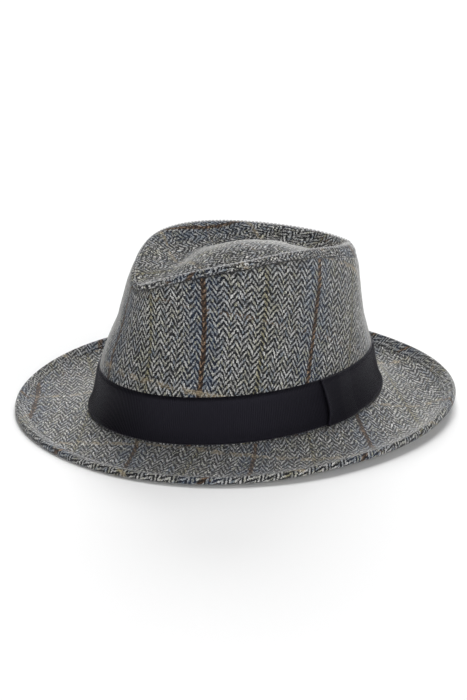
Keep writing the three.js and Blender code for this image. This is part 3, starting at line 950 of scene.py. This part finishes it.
def rib_tree():
    """Fine ribs across a ribbon, from each point's length along it."""
    tree = bpy.data.node_groups.new("grosgrain_ribs", "GeometryNodeTree")
    tree_input(tree, "Geometry", "NodeSocketGeometry")
    tree_input(tree, "Rib Pitch", "NodeSocketFloat", RIB_PITCH / 1000)
    tree_input(tree, "Rib Depth", "NodeSocketFloat", RIB_DEPTH / 1000)
    tree_input(tree, "Ribbon", "NodeSocketMaterial")
    tree.interface.new_socket("Geometry", in_out="OUTPUT", socket_type="NodeSocketGeometry")
    given = tree.nodes.new("NodeGroupInput").outputs
    along = tree.nodes.new("GeometryNodeInputNamedAttribute")
    along.data_type = "FLOAT"
    along = fed(tree, along, {"Name": "along"})["Attribute"]
    calc = partial(reckon, tree)

    def add(kind, inputs):
        return fed(tree, tree.nodes.new(kind), inputs)

    turn = calc("MULTIPLY", calc("DIVIDE", along, given["Rib Pitch"]), 2 * math.pi)
    rise = calc("MULTIPLY", calc("COSINE", turn), calc("MULTIPLY", given["Rib Depth"], 0.5))
    way = tree.nodes.new("ShaderNodeVectorMath")
    way.operation = "SCALE"
    way = fed(tree, way, {0: add("GeometryNodeInputNormal", {})[0], "Scale": rise})[0]
    moved = add("GeometryNodeSetPosition", {"Geometry": given["Geometry"], "Offset": way})[0]
    real = add("GeometryNodeRealizeInstances", {0: moved})[0]
    finished = add("GeometryNodeSetMaterial", {"Geometry": real, "Material": given["Ribbon"]})[0]
    tree.links.new(finished, tree.nodes.new("NodeGroupOutput").inputs[0])
    return tree


RIBS = rib_tree()


def grosgrain(name):
    material, tree, shader = new_material(name)
    ribbon = in_millimetres(tree, cloth_place(tree))
    along, across, _ = apart(tree, ribbon)
    rib = reckon(tree, "COSINE", reckon(tree, "MULTIPLY", along, 2 * math.pi / RIB_PITCH))
    thread = reckon(tree, "COSINE", reckon(tree, "MULTIPLY", across, 2 * math.pi / THREAD_OF_RIBBON))
    uneven = noise(tree, ribbon, 0.9, detail=4)
    slow = noise(tree, ribbon, 0.05, detail=1)
    tone = mixed(tree, uneven, (0.0012, 0.0011, 0.0022), (0.0028, 0.0026, 0.0045))
    # Painted highlight: the crests of the ribs are painted a little lighter than their hollows
    tone = mixed(tree, between(tree, rib, -1.0, 1.0), tone, (0.004, 0.0037, 0.0058))
    tone = mixed(tree, reckon(tree, "MULTIPLY", slow, 0.3), tone, (0.004, 0.004, 0.0038))
    tree.links.new(tone, shader.inputs["Base Color"])
    height = reckon(tree, "MULTIPLY_ADD", thread, 0.35, rib)
    add_bump(tree, shader, reckon(tree, "MULTIPLY_ADD", uneven, 0.8, height), 0.6, 0.0001)
    tree.links.new(reckon(tree, "MULTIPLY_ADD", uneven, 0.2, 0.4), shader.inputs["Roughness"])
    shader.inputs["Specular IOR Level"].default_value = 0.22
    shader.inputs["Specular Tint"].default_value = (0.8, 0.77, 1, 1)
    shader.inputs["Sheen Weight"].default_value = 0.14
    shader.inputs["Sheen Roughness"].default_value = 0.25
    shader.inputs["Sheen Tint"].default_value = (0.8, 0.78, 0.9, 1)
    return material


GROSGRAIN = grosgrain("black_grosgrain")


def ribbed(piece, along):
    """Gives a piece its ribs. along is how far along the ribbon each of its points lies."""
    layer = piece.data.attributes.new("along", "FLOAT", "POINT")
    layer.data.foreach_set("value", (along / 1000).astype(np.float32).ravel())
    return through_tree(piece, RIBS, ribbon=GROSGRAIN)


def ribbon_line(turn):
    return crown_face(RIBBON_MIDDLE_ROW, turn)


def hat_ribbon():
    turns = even_turns(ribbon_line, RIBS_ROUND * POINTS_TO_RIB)
    outer = np.linspace(RIBBON_FOOT_ROW, RIBBON_TOP_ROW, RIBBON_ROWS)
    from_edge = np.minimum(outer - outer[0], outer[-1] - outer)
    full = np.clip(SELVEDGE["share"] + SELVEDGE["rise"] * from_edge / SELVEDGE["over"], 0, 1)
    inner = outer[::-1][::4]
    places = np.concatenate([outer, inner])
    offsets = np.concatenate([GAP + RIBBON_THICKNESS * full, np.full(len(inner), GAP * 0.5)])
    rows = off_face(crown_face, places[:, None], turns, offsets[:, None])
    along = np.linspace(0, RIBS_ROUND * RIB_PITCH, len(turns))
    cloth = np.stack(np.meshgrid(along, places * CLOTH_TO_ROW), -1)
    piece = cloth_piece("ribbon", rows[:, :-1], cloth)
    return ribbed(piece, np.broadcast_to(along[:-1], rows[:, :-1, 0].shape))


ribbon = hat_ribbon()
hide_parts("hat_band")
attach(ribbon, "root")


# The bow.
# A short length of the same ribbon, folded flat over the join and tacked at its ends. Its front fold
# stands off the ribbon and casts a narrow shadow on it.

BOW = {"from": 92.5, "to": 110.5, "thickness": 2.0}
PRESSED_END = 15.0
THIN = 0.12  # the end's thickness, as a share of the whole
FOLD_STANDS = {"corners": 0.6, "middle": 1.5, "fades": 6}
FOLD_BOWS = {"middle": 1.8, "top": 0.3, "fades": 9}  # back between its corners, in degrees
BOW_STEPS = 96
BOW_ROWS = 17


def bow_tab():
    turns = np.radians(np.linspace(BOW["from"], BOW["to"], BOW_STEPS))
    length = running_length(ribbon_line(turns))
    base = GAP + RIBBON_THICKNESS + 0.1
    # The front fold is round, and the other end is pressed thin
    rounded = np.sqrt(1 - (1 - np.clip(length, 0, 1)) ** 2)
    pressed = np.clip((length[-1] - length) / PRESSED_END, 0, 1)
    thick = BOW["thickness"] * rounded * (THIN + (1 - THIN) * pressed)
    walk = np.concatenate([length, 2 * length[-1] - length[::-1], [0]])
    rows, cloth = [], []
    for height in np.linspace(0, 1, BOW_ROWS):
        place = RIBBON_FOOT_ROW + height * (RIBBON_TOP_ROW - RIBBON_FOOT_ROW)
        arch = math.sin(math.pi * height)
        stand = FOLD_STANDS["corners"] + FOLD_STANDS["middle"] * arch**0.8
        under = base + stand * np.exp(-length / FOLD_STANDS["fades"])
        bend = np.radians(FOLD_BOWS["middle"] * arch + FOLD_BOWS["top"] * height)
        at = turns + bend * np.exp(-length / FOLD_BOWS["fades"])
        outer = off_face(crown_face, place, at, under + thick)
        inner = off_face(crown_face, place, at, under)
        rows.append(np.concatenate([outer, inner[::-1]]))
        cloth.append(np.stack([walk, np.full_like(walk, place * CLOTH_TO_ROW)], -1))
    piece = cloth_piece("bow_tab", np.array(rows), np.array(cloth), closed_section=False, caps=True)
    along = np.concatenate([length, length[::-1]])
    return ribbed(piece, np.broadcast_to(along, (BOW_ROWS, len(along))))


bow = bow_tab()
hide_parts("bow")
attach(bow, "root")


# The surface that the hat stands on, the lights and the camera.
# A plain pale floor, two broad lights behind the hat, a low one in front of it and a weak one at the
# right, and the photograph's viewing angle.

AZIMUTH = math.radians(50.346)
ELEVATION = math.radians(21.209)
LEVEL_BACK = Vector((math.sin(AZIMUTH), -math.cos(AZIMUTH), 0))
UP_AXIS = Vector((0, 0, 1))
BACK = LEVEL_BACK * math.cos(ELEVATION) + UP_AXIS * math.sin(ELEVATION)
RIGHT = Vector((math.cos(AZIMUTH), math.sin(AZIMUTH), 0))
UP = BACK.cross(RIGHT)
CAMERA_DISTANCE = 1.7
AIM_RIGHT, AIM_UP = -0.00251, 0.02963
LIGHT_SPREAD = 38
SEEN_WHITE = 0.96  # of the backdrop, over its light on the hat
LIGHT_OF_BACKDROP = 0.04
HALF_FLOOR = 30.0


def floor():
    mesh = bpy.data.meshes.new("floor")
    corners = [(x * HALF_FLOOR, y * HALF_FLOOR, 0) for x, y in ((-1, -1), (1, -1), (1, 1), (-1, 1))]
    mesh.from_pydata(corners, [], [(0, 1, 2, 3)])
    material, _, shader = new_material("pale_floor")
    shader.inputs["Base Color"].default_value = (0.92, 0.92, 0.92, 1)
    shader.inputs["Roughness"].default_value = 0.9
    mesh.materials.append(material)
    piece = in_scene("floor", mesh)


def soft_light(name, to_right, height, strength):
    """A broad, even light. to_right is how far round from behind the hat, towards the camera's right,
    it stands, and height how high over the floor, both in degrees."""
    lamp = bpy.data.lights.new(name, "SUN")
    lamp.angle = math.radians(LIGHT_SPREAD)
    lamp.energy = strength
    to_right, height = math.radians(to_right), math.radians(height)
    level = RIGHT * math.sin(to_right) - LEVEL_BACK * math.cos(to_right)
    light_from = level * math.cos(height) + UP_AXIS * math.sin(height)
    in_scene(name, lamp).rotation_euler = (-light_from).to_track_quat("-Z", "Y").to_euler()


def from_camera(right, up, back):
    """A place given from the middle of the crown's foot, as the camera sees it."""
    middle = Vector((0, HEAD_MIDDLE, SEAM_HEIGHT)) / 1000
    return middle + RIGHT * right + UP * up + BACK * back


floor()
soft_light("high_behind", 6, 57, 2.4)
soft_light("low_behind", 0, 15, 2.6)
soft_light("low_front", 176, 12, 2.05)
soft_light("right", 120, 30, 0.6)

world = bpy.data.worlds.new("studio")
world.use_nodes = True
sky = world.node_tree
backdrop = sky.nodes["Background"]
backdrop.inputs["Color"].default_value = (1, 1, 1, 1)
# The backdrop looks as white as the floor, and lights the hat only a little
seen = sky.nodes.new("ShaderNodeLightPath").outputs["Is Camera Ray"]
whiteness = reckon(sky, "MULTIPLY_ADD", seen, SEEN_WHITE, LIGHT_OF_BACKDROP)
sky.links.new(whiteness, backdrop.inputs["Strength"])
bpy.context.scene.world = world

camera = in_scene("camera", bpy.data.cameras.new("camera"))
bpy.context.scene.camera = camera
camera.location = from_camera(0, 0, CAMERA_DISTANCE)
aim = from_camera(AIM_RIGHT, AIM_UP, 0)
camera.rotation_euler = (aim - camera.location).to_track_quat("-Z", "Y").to_euler()
camera.data.sensor_fit = "VERTICAL"
camera.data.sensor_height = 36
camera.data.lens = 127.12
bpy.context.scene.view_settings.view_transform = "Standard"
